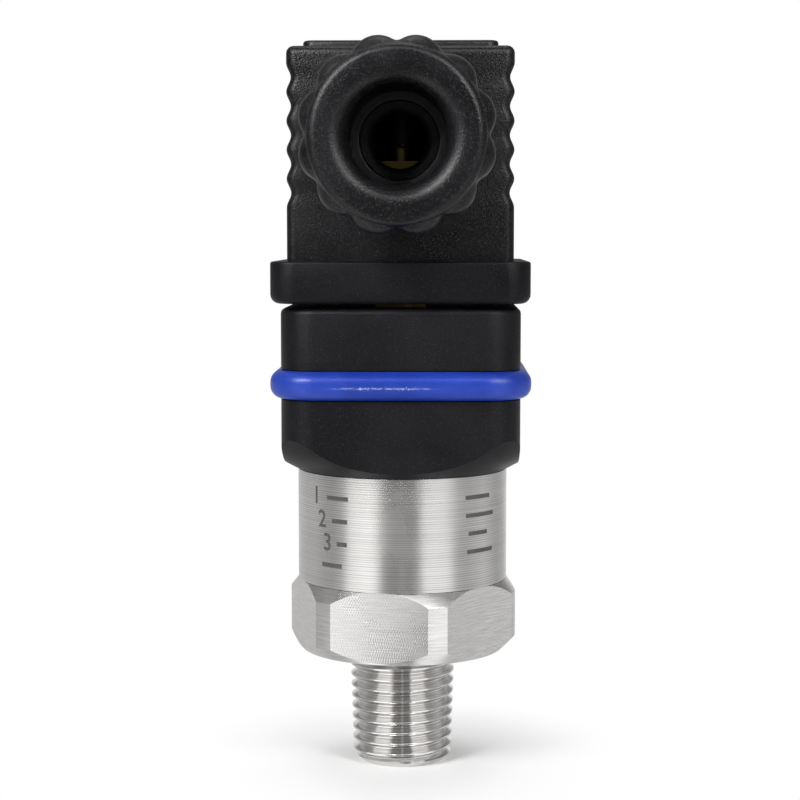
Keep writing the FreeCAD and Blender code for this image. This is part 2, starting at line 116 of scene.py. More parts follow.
def turned(corners, steps=160, arc_steps=5):
    """A closed ring spun from an outline about Z."""
    made = bmesh.new()
    points = [made.verts.new((spot.x, 0, spot.y)) for spot in rounded_outline(corners, arc_steps)]
    edges = [made.edges.new(pair) for pair in zip(points[-1:] + points, points)]
    bmesh.ops.spin(made, geom=points + edges, cent=(0, 0, 0), axis=(0, 0, 1),
                   angle=2 * pi, steps=steps, use_merge=True)
    bmesh.ops.remove_doubles(made, verts=made.verts, dist=weld)
    bmesh.ops.dissolve_degenerate(made, edges=made.edges, dist=weld / 10)
    bmesh.ops.recalc_face_normals(made, faces=made.faces)
    return made


def sleeve(inner, outer, low, high, roundings=(0, 0, 0, 0), steps=160):
    """A turned sleeve; its corners go inner low, outer low, outer high, inner high."""
    radii = (inner, outer, outer, inner)
    heights = (low, low, high, high)
    return turned(list(zip(radii, heights, roundings)), steps)


def along_gland(made):
    """Turn a shape built on Z so that its heights become reach along the gland."""
    bmesh.ops.rotate(made, cent=(0, 0, 0), matrix=Matrix.Rotation(pi / 2, 3, "X"), verts=made.verts)
    bmesh.ops.translate(made, vec=(0, 0, gland_axis), verts=made.verts)
    return made


# %% [markdown]
# ## Square blocks and cuts
#
# The moulded pieces are squares with rounded corners. A cube whose upright
# edges are bevelled gives the corners, and a second bevel softens a rim. Holes
# and pockets are cut with the Boolean modifier, whose result is read back into
# a bmesh, so that later steps can still work on it.

# %% Block, rim and cut
def box_shape(width, depth, low, high):
    """A plain box about the Z axis."""
    made = bmesh.new()
    bmesh.ops.create_cube(made, size=1)
    bmesh.ops.scale(made, vec=(width, depth, high - low), verts=made.verts)
    bmesh.ops.translate(made, vec=(0, 0, (low + high) / 2), verts=made.verts)
    return made


def tall_edges(made, height):
    """Edges that rise by more than a height."""
    return [edge for edge in made.edges if abs(edge.verts[0].co.z - edge.verts[1].co.z) > height]


def level_edges(made, height):
    """Edges that lie flat at one height."""
    return [edge for edge in made.edges if all(abs(end.co.z - height) < 1e-3 for end in edge.verts)]


def bevel(made, edges, size, segments):
    bmesh.ops.bevel(made, geom=edges, offset=size, affect="EDGES", segments=segments,
                    profile=0.5, material=-1)


def square_block(side, corner, low, high, segments=8):
    """A square box with rounded upright edges."""
    made = box_shape(side, side, low, high)
    bevel(made, tall_edges(made, 0.01), corner, segments)
    return made


def soften_rim(made, height, size, segments=4):
    """Round the edges at one height."""
    bevel(made, level_edges(made, height), size, segments)


def new_object(name, content):
    """An object of the scene, with a mesh, a lamp or a camera in it."""
    holder = bpy.data.objects.new(name, content)
    bpy.context.scene.collection.objects.link(holder)
    return holder


def as_object(made, name):
    mesh = bpy.data.meshes.new(name)
    made.to_mesh(mesh)
    made.free()
    return new_object(name, mesh)


def combine(made, tool, operation="DIFFERENCE"):
    """The first shape with the second cut from it, joined to it or shared with it."""
    body = as_object(made, "body")
    cutter = as_object(tool, "cutter")
    step = body.modifiers.new("cut", "BOOLEAN")
    step.operation = operation
    step.solver = "EXACT"
    step.object = cutter
    seen = body.evaluated_get(bpy.context.evaluated_depsgraph_get())
    result = bmesh.new()
    result.from_mesh(seen.to_mesh())
    for holder in (body, cutter):
        mesh = holder.data
        bpy.data.objects.remove(holder)
        bpy.data.meshes.remove(mesh)
    bmesh.ops.remove_doubles(result, verts=result.verts, dist=weld)
    bmesh.ops.dissolve_degenerate(result, edges=result.edges, dist=weld)
    return result


# %% [markdown]
# ## From a shape to a finished piece
#
# Each shape is scaled to metres, shaded smooth apart from its sharp edges, and
# told which body it rides on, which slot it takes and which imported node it
# stands for. Edges left sharp by cuts get a live bevel, which finds them by
# their angle.

# %% Write a piece in metres
pieces = {}


def finish_piece(made, name, body, slot, stands_for=(), sharp=38):
    """Scale a shape to metres, shade it and let it ride on a body."""
    bmesh.ops.scale(made, vec=(mm, mm, mm), verts=made.verts)
    piece = as_object(made, name)
    piece.data.shade_smooth()
    piece.data.set_sharp_from_angle(angle=radians(sharp))
    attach(piece, body)
    if stands_for:
        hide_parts(*stands_for)
    pieces[name] = (piece, slot)
    print(name, "faces", len(piece.data.polygons))
    return piece


def break_edges(piece, width, angle):
    """A live bevel on the edges that turn by more than an angle."""
    edge = piece.modifiers.new("edge", "BEVEL")
    edge.width = width * mm
    edge.segments = 2
    edge.angle_limit = radians(angle)


# %% [markdown]
# ## The taper thread
#
# The real thread is rolled or cut at 18 turns to the inch on a cone that grows
# 1 in 16. A stack of rings would look right from far off, but the crests would
# not climb. Here one pitch of the profile is spun with a rise at each step,
# its ends are merged into one long screw surface, and the radii are then moved
# on to the cone. The lead bevel simply limits how far out a point may be.

# %% Spin the thread
pitch = 25.4 / 18
thread_length = 13.6
crest_radius = 6.86     # at the large end
taper = 1 / 32          # loss of radius for each millimetre of length
lead_radius = 5.6       # of the end face, inside the lead bevel
lead_slope = 0.87
crest_flat = 0.2
crest_edge = 0.07       # rise of each rounded edge of the crest
root_flat = 0.1
thread_depth = 0.86
steps_per_turn = 80
turns = ceil(thread_length / pitch) + 2
flank = (pitch - crest_flat - root_flat) / 2 - crest_edge
flank_end = root_flat / 2 + flank
half_profile = [(-thread_depth, root_flat / 2), (-thread_depth / 2, root_flat / 2 + flank / 2),
                (-0.08, flank_end), (-0.025, flank_end + 0.45 * crest_edge), (0, (pitch - crest_flat) / 2)]
profile = [(-thread_depth, 0)] + half_profile + [(out, pitch - up) for out, up in reversed(half_profile)]
profile.append((-thread_depth, pitch))


def slice_at(made, place, normal, dist=weld, **cleared):
    """Cut a whole shape along a plane, and clear a side of it where asked."""
    everything = made.verts[:] + made.edges[:] + made.faces[:]
    return bmesh.ops.bisect_plane(made, geom=everything, dist=dist, plane_co=place, plane_no=normal,
                                  **cleared)


thread = bmesh.new()
chain = [thread.verts.new((crest_radius + out, 0, up - pitch)) for out, up in profile]
links = [thread.edges.new(pair) for pair in zip(chain, chain[1:])]
bmesh.ops.spin(thread, geom=chain + links, cent=(0, 0, 0), axis=(0, 0, 1),
               dvec=(0, 0, pitch / steps_per_turn), angle=2 * pi * turns,
               steps=steps_per_turn * turns)
bmesh.ops.remove_doubles(thread, verts=thread.verts, dist=10 * weld)
slice_at(thread, (0, 0, 0), (0, 0, 1), clear_inner=True)
slice_at(thread, (0, 0, thread_length), (0, 0, 1), clear_outer=True)
for point in thread.verts:
    reach = hypot(point.co.x, point.co.y)
    wanted = reach - (thread_length - point.co.z) * taper
    wanted = min(wanted, lead_radius + point.co.z * lead_slope)
    point.co.x *= wanted / reach
    point.co.y *= wanted / reach
print("thread turns", turns, "faces", len(thread.faces))

# %% [markdown]
# ## The thread's ends
#
# Below is the port that lets the pressure in. Above, the thread runs out on a
# short cone. The steel is one piece, so circles are set where it turns, and
# each open loop is bridged to the next until nothing is open.

# %% Close the thread with its port and its run-out cone
hex_bottom = 15.1
port_radius = 1.75
neck_radius = 5.7


def circle_at(made, radius, height):
    """Add a level circle and return its edges."""
    ring = bmesh.ops.create_circle(made, cap_ends=False, radius=radius, segments=72)["verts"]
    bmesh.ops.translate(made, vec=(0, 0, height), verts=ring)
    return list({edge for point in ring for edge in point.link_edges})


def open_loop(made, height):
    return [edge for edge in level_edges(made, height) if edge.is_boundary]


bottom_loop = open_loop(thread, 0)
top_loop = open_loop(thread, thread_length)
port_mouth = circle_at(thread, port_radius, 0)
port_end = circle_at(thread, port_radius, hex_bottom)
neck = circle_at(thread, neck_radius, hex_bottom)
for pair in ((bottom_loop, port_mouth), (port_mouth, port_end), (top_loop, neck), (neck, port_end)):
    bmesh.ops.bridge_loops(thread, edges=pair[0] + pair[1])
bmesh.ops.recalc_face_normals(thread, faces=thread.faces)
print("open edges left", sum(edge.is_boundary for edge in thread.edges))
finish_piece(thread, "taper_thread", "transmitter", "steel_turned", sharp=30)

# %% [markdown]
# ## The hexagon
#
# The spanner hexagon is turned first, with a bevel above and below, and then
# six flats are milled off. Cutting the turned shape with six planes repeats
# that order, so the curved lines where flats meet bevels come out right. The
# turned lands stay between the flats, because the blank is smaller than the
# full corners. Each flat also keeps a number, the strength of its milling
# marks, which a finish further down reads.

# %% Turn the blank and mill six flats
hex_top = tube_low.z
tube_radius = 13.65
spigot_radius = 12.62
land_radius = 14.9
under_radius = 13.2
half_flats = 13.5
hex_turn = 11.5         # degrees from the gland's direction to the nearest flat
pocket_radius = 9.2
pocket_floor = 19.2
hexagon = turned([
    (port_radius, hex_bottom, 0), (under_radius, hex_bottom, 0.15), (land_radius, hex_bottom + 1.7, 0.2),
    (land_radius, hex_top - 1.6, 0.2), (tube_radius, hex_top, 0.1), (spigot_radius, hex_top, 0),
    (spigot_radius, collar_top, 0.1), (pocket_radius, collar_top, 0.1),
    (pocket_radius, pocket_floor, 0), (port_radius, pocket_floor, 0)])
milled = hexagon.faces.layers.float.new("milled")
marks_seen = (1.0, 0.3, 0.5, 0.7, 0.5, 0.35)
for side, strength in enumerate(marks_seen):
    facing = radians(60 * side - hex_turn - 90)
    outward = Vector((cos(facing), sin(facing), 0))
    cut = slice_at(hexagon, outward * half_flats, outward, clear_outer=True)
    edges = [part for part in cut["geom_cut"] if isinstance(part, bmesh.types.BMEdge)]
    for flat in bmesh.ops.holes_fill(hexagon, edges=edges, sides=0)["faces"]:
        flat[milled] = strength
bmesh.ops.recalc_face_normals(hexagon, faces=hexagon.faces)
hexagon_piece = finish_piece(hexagon, "hexagon", "transmitter", "steel_turned",
                             ["process_connection"], sharp=20)
break_edges(hexagon_piece, 0.12, 20)

# %% [markdown]
# ## The case tube
#
# A thin tube, finely turned. It meets the hexagon in a visible line, so both
# ends get a small edge break.

# %% Turn the tube
tube_bore = 12.65
seam = tube_low.z + 0.02
case = sleeve(tube_bore, tube_radius, seam, tube_high.z, (0, 0.12, 0.12, 0))
finish_piece(case, "tube", "transmitter", "steel_case", ["case_tube"])

# %% [markdown]
# ## Marks on the case
#
# The maker's laser text is left off. Plain digits with short bars take its
# place, in the same two areas. They are thin solids laid round the tube: a
# flat shape is sliced into narrow strips first, so that it can follow the
# curve without sinking into the steel.

# %% Wrap flat shapes round the tube
mark_height = 0.012
mark_sink = 0.005
strip_width = 0.3


def wrap_on_tube(flat, azimuth, height):
    """Bend a flat shape, drawn in X and Y, round the tube's front."""
    slices = ceil(max(abs(point.co.x) for point in flat.verts) / strip_width)
    for number in range(-slices, slices + 1):
        slice_at(flat, (strip_width * number, 0, 0), (1, 0, 0), weld / 10)
    for point in flat.verts:
        angle = radians(azimuth) + point.co.x / tube_radius
        radius = tube_radius - mark_sink + point.co.z
        point.co = Vector((radius * sin(angle), -radius * cos(angle), height + point.co.y))
    return flat


def digit_shape(digit, size):
    """A digit as a thin solid, made from Blender's own font."""
    letter = bpy.data.curves.new("digit", "FONT")
    letter.body = digit
    letter.size = size
    letter.extrude = mark_height / 2
    letter.offset = 0.05
    letter.align_x = "CENTER"
    letter.align_y = "CENTER"
    holder = new_object("digit", letter)
    mesh = bpy.data.meshes.new_from_object(holder.evaluated_get(bpy.context.evaluated_depsgraph_get()))
    flat = bmesh.new()
    flat.from_mesh(mesh)
    bmesh.ops.remove_doubles(flat, verts=flat.verts, dist=weld / 100)
    bmesh.ops.translate(flat, vec=(0, 0, mark_height / 2), verts=flat.verts)
    bpy.data.objects.remove(holder)
    bpy.data.meshes.remove(mesh)
    bpy.data.curves.remove(letter)
    return flat


# %% [markdown]
# ## The two areas of marks
#
# One area is left of the front and one right of it. A mark is placed by its
# height and its bearing round the tube, in degrees from the front.

# %% Place the digits and bars
digit_size = 3.1
bar_thickness = 0.55
for digit, azimuth, height in (("1", -52, 36.0), ("2", -47, 33.1), ("3", -43, 30.2)):
    shape = wrap_on_tube(digit_shape(digit, digit_size), azimuth, height)
    finish_piece(shape, "mark_digit_" + digit, "transmitter", "steel_case")
bars = ((-36, 36.0, 3.4), (-34.5, 33.1, 2.4), (-33, 30.2, 1.6), (-40, 27.4, 3.4),
        (46, 36.1, 4.4), (48, 33.8, 5.2), (46, 31.5, 3.4), (48, 29.2, 4.8))
for number, (azimuth, height, width) in enumerate(bars, 1):
    shape = wrap_on_tube(box_shape(width, bar_thickness, 0, mark_height), azimuth, height)
    finish_piece(shape, "mark_bar_" + str(number), "transmitter", "steel_case")

# %% [markdown]
# ## The square housing
#
# One moulding goes from round to square: a rounded square body whose lower
# corners are taken off by a bulged, turned skirt. Sharing the square with a
# turned envelope gives the curved lines between the two, which would be hard
# to place by hand.

# %% Share the square with the skirt
adapter_side = adapter_high.x - adapter_low.x
adapter_corner = 4.4
adapter_bottom = tube_high.z
adapter_top = adapter_high.z
spigot_bore = 9.9
skirt_rise = 4.9
bulge_out = 0.55
bulge_down = 0.35
skirt_clear = 30        # past the square's corners
clear_top = adapter_top + 5
corner_reach = adapter_side / 2 * sqrt(2) - adapter_corner * (sqrt(2) - 1)
bulge = []
for share in (step / 8 for step in range(1, 8)):
    out = tube_high.x + (corner_reach - tube_high.x) * share + bulge_out * sin(pi * share)
    bulge.append((out, adapter_bottom + skirt_rise * share - bulge_down * sin(pi * share), 0))
skirt = turned([(spigot_bore, adapter_bottom, 0), (tube_high.x, adapter_bottom, 0.15)] + bulge + [
    (corner_reach + 0.3, adapter_bottom + 5.2, 0), (skirt_clear, adapter_bottom + 14, 0),
    (skirt_clear, clear_top, 0), (spigot_bore, clear_top, 0)])
housing = square_block(adapter_side, adapter_corner, adapter_bottom, adapter_top, 14)
soften_rim(housing, adapter_top, 0.7)
housing = combine(housing, skirt, "INTERSECT")
print("shared shape", len(housing.faces))

# %% [markdown]
# ## The housing's groove and pockets
#
# A groove holds the coloured ring, a pocket the contacts. A square frame cuts
# the groove all round at once. Below, a short spigot goes down into the tube.

# %% Cut the groove and pockets, add the spigot
band_middle = (band_low.z + band_high.z) / 2
groove_half = 1.9
groove_side = 26.8
groove_corner = 2.8
pocket_side = 24.2
shaft_side = 21.6
inner_corner = 2.0
around_groove = box_shape(40, 40, band_middle - groove_half, band_middle + groove_half)
groove = combine(around_groove, square_block(groove_side, groove_corner, band_middle - 3, band_middle + 3))
housing = combine(housing, groove)
housing = combine(housing, square_block(pocket_side, inner_corner, adapter_top - 3, adapter_top + 1))
housing = combine(housing, square_block(shaft_side, inner_corner, adapter_top - 16, adapter_top - 2))
spigot = sleeve(spigot_bore, spigot_radius, adapter_low.z, adapter_bottom + 0.5, (0.1, 0.2, 0, 0), 96)
housing = combine(housing, spigot, "UNION")
housing_piece = finish_piece(housing, "square_housing", "transmitter", "housing_black",
                             ["adapter_housing"], sharp=24)
break_edges(housing_piece, 0.18, 24)

# %% [markdown]
# ## The coloured ring
#
# A soft ring, stretched into the groove. Its outer face is round and its back
# is flat. A block whose two rims are bevelled until they almost meet gives
# that section.

# %% Round the ring and open it
band_corner = 5.75
band_rounding = 1.55
band = square_block(band_high.x - band_low.x, band_corner, band_low.z, band_high.z, 14)
for height in (band_low.z, band_high.z):
    soften_rim(band, height, band_rounding, 7)
opening = square_block(groove_side + 0.06, groove_corner + 0.03, band_low.z - 1, band_high.z + 1, 10)
band = combine(band, opening)
finish_piece(band, "coloured_ring", "transmitter", "ring_blue", ["identification_ring"])

# %% [markdown]
# ## The profile gasket
#
# The collar under the plug is a soft moulding with a generous lower edge. It
# moves with the plug, and the plug's wiring space goes on through it.

# %% Gasket collar
plug_side = 28.0
plug_corner = 1.1
plug_bottom = plug_low.z
cavity = (22.2, 1.2)    # side and corner of the wiring space
collar_corner = 3.2
collar = square_block(gasket_high.x - gasket_low.x, collar_corner, gasket_low.z, gasket_high.z, 12)
soften_rim(collar, gasket_low.z, 1.15, 5)
soften_rim(collar, gasket_high.z, 0.3, 3)
collar = combine(collar, square_block(plug_side + 0.06, plug_corner, plug_bottom, gasket_high.z + 1))
collar = combine(collar, square_block(*cavity, gasket_low.z - 1, plug_bottom + 0.5))
finish_piece(collar, "gasket_collar", "plug", "gasket_black", ["profile_gasket"])

# %% [markdown]
# ## The plug's sides
#
# The sides have five soft finger grooves that run right through the rounded
# edges. Instead of cutting them, the upright edges are divided finely and the
# points near each side are moved inwards by a wave, so the rounded edge keeps
# its radius and simply follows the wave.

# %% Block with wavy sides
plug_top = plug_high.z - 0.8
first_groove = plug_top - 3.8
groove_count = 5
groove_pitch = 3.53
groove_depth = 0.55


def wave_depth(height):
    """How far the side is drawn in at a height: the troughs of a cosine wave."""
    along = (first_groove - height) / groove_pitch
    if along < -0.5 or along > groove_count - 0.5:
        return 0.0
    return groove_depth * (1 + cos(2 * pi * along)) / 2


plug = square_block(plug_side, plug_corner, plug_bottom, plug_top, 5)
soften_rim(plug, plug_top, 0.9)
bmesh.ops.subdivide_edges(plug, edges=tall_edges(plug, 10), cuts=120, use_grid_fill=True)
for point in plug.verts:
    if abs(point.co.x) > plug_side / 2 - plug_corner - 0.05:
        point.co.x -= (1 if point.co.x > 0 else -1) * wave_depth(point.co.z)
print("wavy block", len(plug.faces))

# %% [markdown]
# ## The plug's panel, boss and hollows
#
# A raised panel lies on top, and a round boss carries the gland. Inside, the
# wiring space leaves a tower, which holds the driver recess and the hole for
# the central screw. These simple shapes are joined on or cut out in turn.

# %% Join the panel and the boss, cut the hollows
panel_side = 24.1
panel_corner = 1.3
boss_root = 11.5
boss_reach = 22.4
boss_radius = 9.5
boss_bore = 7.6
cable_hole = 4.6
tower_radius = 4.4
tower_bottom = 80.6
recess_radius = 3.5
recess_floor = 84.2
screw_hole = 1.65


def solid_round(radius, low, high, segments=64):
    """A plain cylinder between two heights."""
    made = bmesh.new()
    bmesh.ops.create_cone(made, cap_ends=True, segments=segments, radius1=radius, radius2=radius,
                          depth=high - low)
    bmesh.ops.translate(made, vec=(0, 0, (low + high) / 2), verts=made.verts)
    return made


panel = square_block(panel_side, panel_corner, plug_top - 1, plug_high.z, 5)
soften_rim(panel, plug_high.z, 0.35, 3)
plug = combine(plug, panel, "UNION")
boss = sleeve(4.0, boss_radius, boss_root, boss_reach, (0, 0, 0.8, 0), 96)
plug = combine(plug, along_gland(boss), "UNION")
hollow = square_block(*cavity, plug_bottom - 1, plug_top - 2.2)
for hole in (combine(hollow, sleeve(0.4, tower_radius, tower_bottom, 91, steps=64)),
             along_gland(solid_round(boss_bore, 12.4, boss_reach + 1, 96)),
             along_gland(solid_round(cable_hole, 10.9, 12.6)),
             solid_round(recess_radius, recess_floor, plug_high.z + 1),
             solid_round(screw_hole, 80, 85, 32)):
    plug = combine(plug, hole)
finish_piece(plug, "plug_cover", "plug", "plug_black", ["plug_housing"], sharp=30)

# %% [markdown]
# ## The gland nut
#
# A hand nut with twelve round lobes. Its section is spun first, with many
# levels along the grip, so that the next step has points to move. The mouth is
# a wide, even radius down to the bore.

# %% Spin the nut's section
nut_start = 18.13       # of the sleeve inside the boss
nut_back = 24.0
nut_front = -nut_low.y
nut_bore = 5.8
nut_sleeve = 7.55
blank_radius = 10.6
rim_radius = 10.3
grip_end = nut_front - 1.35
grip_levels = [nut_back + (grip_end - nut_back) * step / 20 for step in range(20)]
nut = turned(
    [(nut_bore, nut_start, 0.2), (nut_sleeve, nut_start, 0.4), (nut_sleeve, nut_back, 0.2)]
    + [(blank_radius, level, 0) for level in grip_levels]
    + [(rim_radius, grip_end, 0), (rim_radius, nut_front, 1.1), (nut_bore, nut_front, 2.3)],
    steps=240, arc_steps=9)
print("nut section spun", len(nut.faces))

# %% [markdown]
# ## The nut's lobes
#
# Lobes could be joined on. Moving each point of the grip out to the lobed
# outline keeps one clean surface. The move fades away over the front shoulder,
# so the lobes melt into the round rim as they do on a moulded nut.

# %% Raise twelve lobes
lobe_count = 12
lobe_radius = 3.2
lobe_tip = 11.55
valley = 10.65
valley_blend = 0.12
back_rounding = 0.6
shoulder_start = grip_end - 2.1


def lobe_reach(angle):
    """Distance from the axis to the lobed outline, with soft valleys."""
    step = 2 * pi / lobe_count
    off = ((angle / step) % 1.0 - 0.5) * step
    centre = lobe_tip - lobe_radius
    lobe = centre * cos(off) + sqrt(lobe_radius ** 2 - (centre * sin(off)) ** 2)
    both = (lobe + valley + sqrt((lobe - valley) ** 2 + valley_blend ** 2)) / 2
    return min(both, lobe_tip)


for point in nut.verts:
    radius = hypot(point.co.x, point.co.y)
    height = point.co.z
    if radius < blank_radius - 0.1 or height > grip_end - 0.01:
        continue
    wanted = lobe_reach(atan2(point.co.y, point.co.x))
    if height > shoulder_start:
        along = (height - shoulder_start) / (grip_end - shoulder_start)
        wanted = rim_radius + (wanted - rim_radius) * (1 - along ** 2.4) ** 0.8
    if height < nut_back + back_rounding:
        drop = (nut_back + back_rounding - height) / back_rounding
        wanted -= back_rounding * (1 - sqrt(max(0, 1 - drop ** 2)))
    point.co.x *= wanted / radius
    point.co.y *= wanted / radius
finish_piece(along_gland(nut), "hand_nut", "nut", "plug_black", ["gland_nut"], sharp=50)

# %% [markdown]
# ## Inside the gland
#
# The soft seal grips the cable, and a thin washer keeps the turning nut from
# wringing it. Both are seen through the nut, so they get real edges.

# %% Seal and washer
seal_low, seal_high = low_high("gland_seal")
washer_low, washer_high = low_high("gland_washer")
seal_radii = (3.35, 7.55)
washer_radii = (4.7, 7.52)
seal = sleeve(*seal_radii, -seal_high.y, -seal_low.y, (0.3, 0.3, 0.3, 1.0), 96)
finish_piece(along_gland(seal), "cable_seal", "plug", "seal_rubber", ["gland_seal"])
washer = sleeve(*washer_radii, -washer_high.y, -washer_low.y, (0.1, 0.1, 0.1, 0.35), 96)
finish_piece(along_gland(washer), "gland_disc", "washer", "washer_black", ["gland_washer"])

# %% [markdown]
# ## The central screw
#
# A slotted screw holds the plug down. It stands loose in its recess, with a
# small sealing ring under its head.

# %% Screw and its ring
screw_low, screw_high = low_high("fixing_screw")
ring_low, ring_high = low_high("screw_seal")
shank_radius = 1.45
head_radius = 2.75
head_under = ring_high.z + 0.05
ring_under = ring_low.z + 0.02
screw = turned([(0.05, screw_low.z, 0), (shank_radius, screw_low.z, 0.3), (shank_radius, head_under, 0.1),
                (head_radius, head_under, 0.15), (head_radius, screw_high.z, 0.35), (0.05, screw_high.z, 0)],
               steps=64)
screw = combine(screw, box_shape(0.8, 8, screw_high.z - 0.9, screw_high.z + 1.1))
finish_piece(screw, "slotted_screw", "screw", "screw_zinc", ["fixing_screw"])
screw_ring = sleeve(1.5, 3.2, ring_under, ring_high.z, (0.1, 0.3, 0.3, 0.1), 64)
finish_piece(screw_ring, "screw_ring_seal", "screw_ring", "seal_rubber", ["screw_seal"])

# %% [markdown]
# ## Node helpers
#
# A material could be clicked together in the editor. In code, a short helper
# that adds a node with its values and links keeps each recipe readable.

# %% Add nodes and links
def feed(tree, node, values):
    """Give inputs of a node their links or steady values."""
    for key, value in dict(values).items():
        if isinstance(value, bpy.types.NodeSocket):
            tree.links.new(value, node.inputs[key])
        else:
            node.inputs[key].default_value = value


def add(tree, kind, values=(), **settings):
    """A node with settings, and values or links for its inputs."""
    node = tree.nodes.new(kind)
    for key, value in settings.items():
        setattr(node, key, value)
    feed(tree, node, values)
    return node


# %% [markdown]
# ## Nodes that every recipe uses
#
# Ramps, sums, noise and bumps come up again and again, so each gets a name.

# %% Name the common nodes
def ramp(tree, value, low, high, from_value=0.0, to_value=1.0):
    """Spread one range of a value smoothly over another."""
    return add(tree, "ShaderNodeMapRange", interpolation_type="SMOOTHSTEP", values={
        "Value": value, "From Min": low, "From Max": high, "To Min": from_value, "To Max": to_value,
    }).outputs["Result"]


def calculate(tree, operation, *terms):
    return add(tree, "ShaderNodeMath", enumerate(terms), operation=operation).outputs[0]


def times(tree, first, second):
    return calculate(tree, "MULTIPLY", first, second)


def noise(tree, place, scale, **more):
    return add(tree, "ShaderNodeTexNoise", {"Vector": place, "Scale": scale, **more}).outputs["Fac"]


def blend_color(tree, factor, first, second):
    """Mix two colours by a factor."""
    return add(tree, "ShaderNodeMix", {0: factor, 6: first, 7: second}, data_type="RGBA").outputs[2]


def relief(tree, strength, depth, height):
    """A normal that is tilted by a height."""
    return add(tree, "ShaderNodeBump", {"Strength": strength, "Distance": depth, "Height": height}).outputs[0]


def object_place(tree):
    return add(tree, "ShaderNodeTexCoord").outputs["Object"]


def split(tree, place):
    """The X, Y and Z of a place."""
    return add(tree, "ShaderNodeSeparateXYZ", {"Vector": place}).outputs


# %% [markdown]
# ## Groups
#
# What several materials share is a node group: numbers go in, and masks and
# heights come out.

# %% Open and close a group
def new_group(name, numbers):
    """A node group with its number inputs and its Object coordinate."""
    group = bpy.data.node_groups.new(name, "ShaderNodeTree")
    for label, value in numbers.items():
        socket = group.interface.new_socket(name=label, in_out="INPUT", socket_type="NodeSocketFloat")
        socket.default_value = value
    return group, add(group, "NodeGroupInput").outputs, object_place(group)


def close_group(group, results):
    """Name the results of a group and link them."""
    for label in results:
        group.interface.new_socket(name=label, in_out="OUTPUT", socket_type="NodeSocketFloat")
    add(group, "NodeGroupOutput", results)
    print(group.name, len(group.nodes), "nodes")


# %% [markdown]
# ## Moulded grain
#
# Moulded housings are never one flat black. Up close there is a fine grain
# from the mould, tiny pale specks where glass fibres reach the surface, and
# broad dull patches. The group gives a height for the grain, a mask for the
# specks and a mask for the patches, and each material mixes them its own way.

# %% Build the grain group
grain, numbers, place = new_group("moulded_grain", {"Grain Scale": 5000, "Speck Scale": 9000,
                                                    "Speck Amount": 0.1, "Patch Scale": 90})
speck = add(grain, "ShaderNodeTexVoronoi", {"Vector": place, "Scale": numbers["Speck Scale"]})
chance = add(grain, "ShaderNodeSeparateColor", {"Color": speck.outputs["Color"]}).outputs[0]
picked = calculate(grain, "LESS_THAN", chance, numbers["Speck Amount"])
near = calculate(grain, "LESS_THAN", speck.outputs["Distance"], 0.42)
close_group(grain, {
    "Height": noise(grain, place, numbers["Grain Scale"], Detail=2, Roughness=0.6),
    "Specks": times(grain, picked, near),
    "Patches": ramp(grain, noise(grain, place, numbers["Patch Scale"], Detail=4), 0.35, 0.65)})

# %% [markdown]
# ## Machining marks
#
# A lathe tool leaves fine lines round the piece, so steel looks streaked along
# the turning and even across it. Noise squeezed along one axis gives lines at
# right angles to it. The group squeezes along Z for turned faces, and adds the
# even wave of the tool's feed.

# %% Build the machining group
marks, numbers, place = new_group("machining_marks", {"Line Scale": 9000, "Run Scale": 60, "Feed": 22000})
apart = split(marks, place)
squeezed = add(marks, "ShaderNodeCombineXYZ", {
    "X": times(marks, apart["X"], numbers["Run Scale"]),
    "Y": times(marks, apart["Y"], numbers["Run Scale"]),
    "Z": times(marks, apart["Z"], numbers["Line Scale"])}).outputs[0]
lines = noise(marks, squeezed, 1, Detail=1.5, Roughness=0.5)
feed_wave = calculate(marks, "SINE", times(marks, apart["Z"], numbers["Feed"]))
close_group(marks, {
    "Lines": calculate(marks, "MULTIPLY_ADD", feed_wave, 0.2, lines),
    "Cloud": ramp(marks, noise(marks, place, 140, Detail=3), 0.3, 0.7)})

# %% [markdown]
# ## Milled flats
#
# A face mill leaves arcs on the hexagon's flats. All points at one distance
# from a centre beside the flat lie on such an arc, so a wave over that
# distance draws them. A fainter level pattern crosses the arcs, and the
# number kept on each flat says how strongly it shows them.

# %% Build the milling group
there_centre = (-0.0223, -0.0092, 0.0117)
back_centre = (0.0189, -0.0176, 0.0097)
wobble_depth = 0.0003
level_rate = 19000
milling, numbers, place = new_group("milling_marks", {"Arc Pitch": 0.0003})
wobble = times(milling, noise(milling, place, 700, Detail=2), wobble_depth)


def arcs_about(centre, share):
    """Waves over the distance from a point, bent a little by noise."""
    reach = add(milling, "ShaderNodeVectorMath", {0: place, 1: centre}, operation="DISTANCE").outputs["Value"]
    turns_out = calculate(milling, "DIVIDE", calculate(milling, "ADD", reach, wobble), numbers["Arc Pitch"])
    wave = calculate(milling, "SINE", times(milling, turns_out, 2 * pi))
    return times(milling, wave, share)


share = ramp(milling, noise(milling, place, 2200, Detail=3), 0.35, 0.65)
there = arcs_about(there_centre, share)
back = arcs_about(back_centre, calculate(milling, "SUBTRACT", 1, share))
level = calculate(milling, "SINE", times(milling, split(milling, place)["Z"], level_rate))
both = calculate(milling, "MULTIPLY_ADD", level, 0.35, calculate(milling, "ADD", there, back))
chosen = add(milling, "ShaderNodeAttribute", attribute_name="milled").outputs["Fac"]
close_group(milling, {"Height": times(milling, both, chosen)})

# %% [markdown]
# ## Plastics and rubbers
#
# One recipe serves every moulding, with its own values: how dark it is, how
# rough, how strong the grain and how many specks. The steady values sit on
# the shader itself. The ceramic of the measuring cell and the dull grey that a
# laser leaves on steel are mottled in the same way, so they share it.

# %% Mouldings
finishes = {}
grain_depth = 0.00007


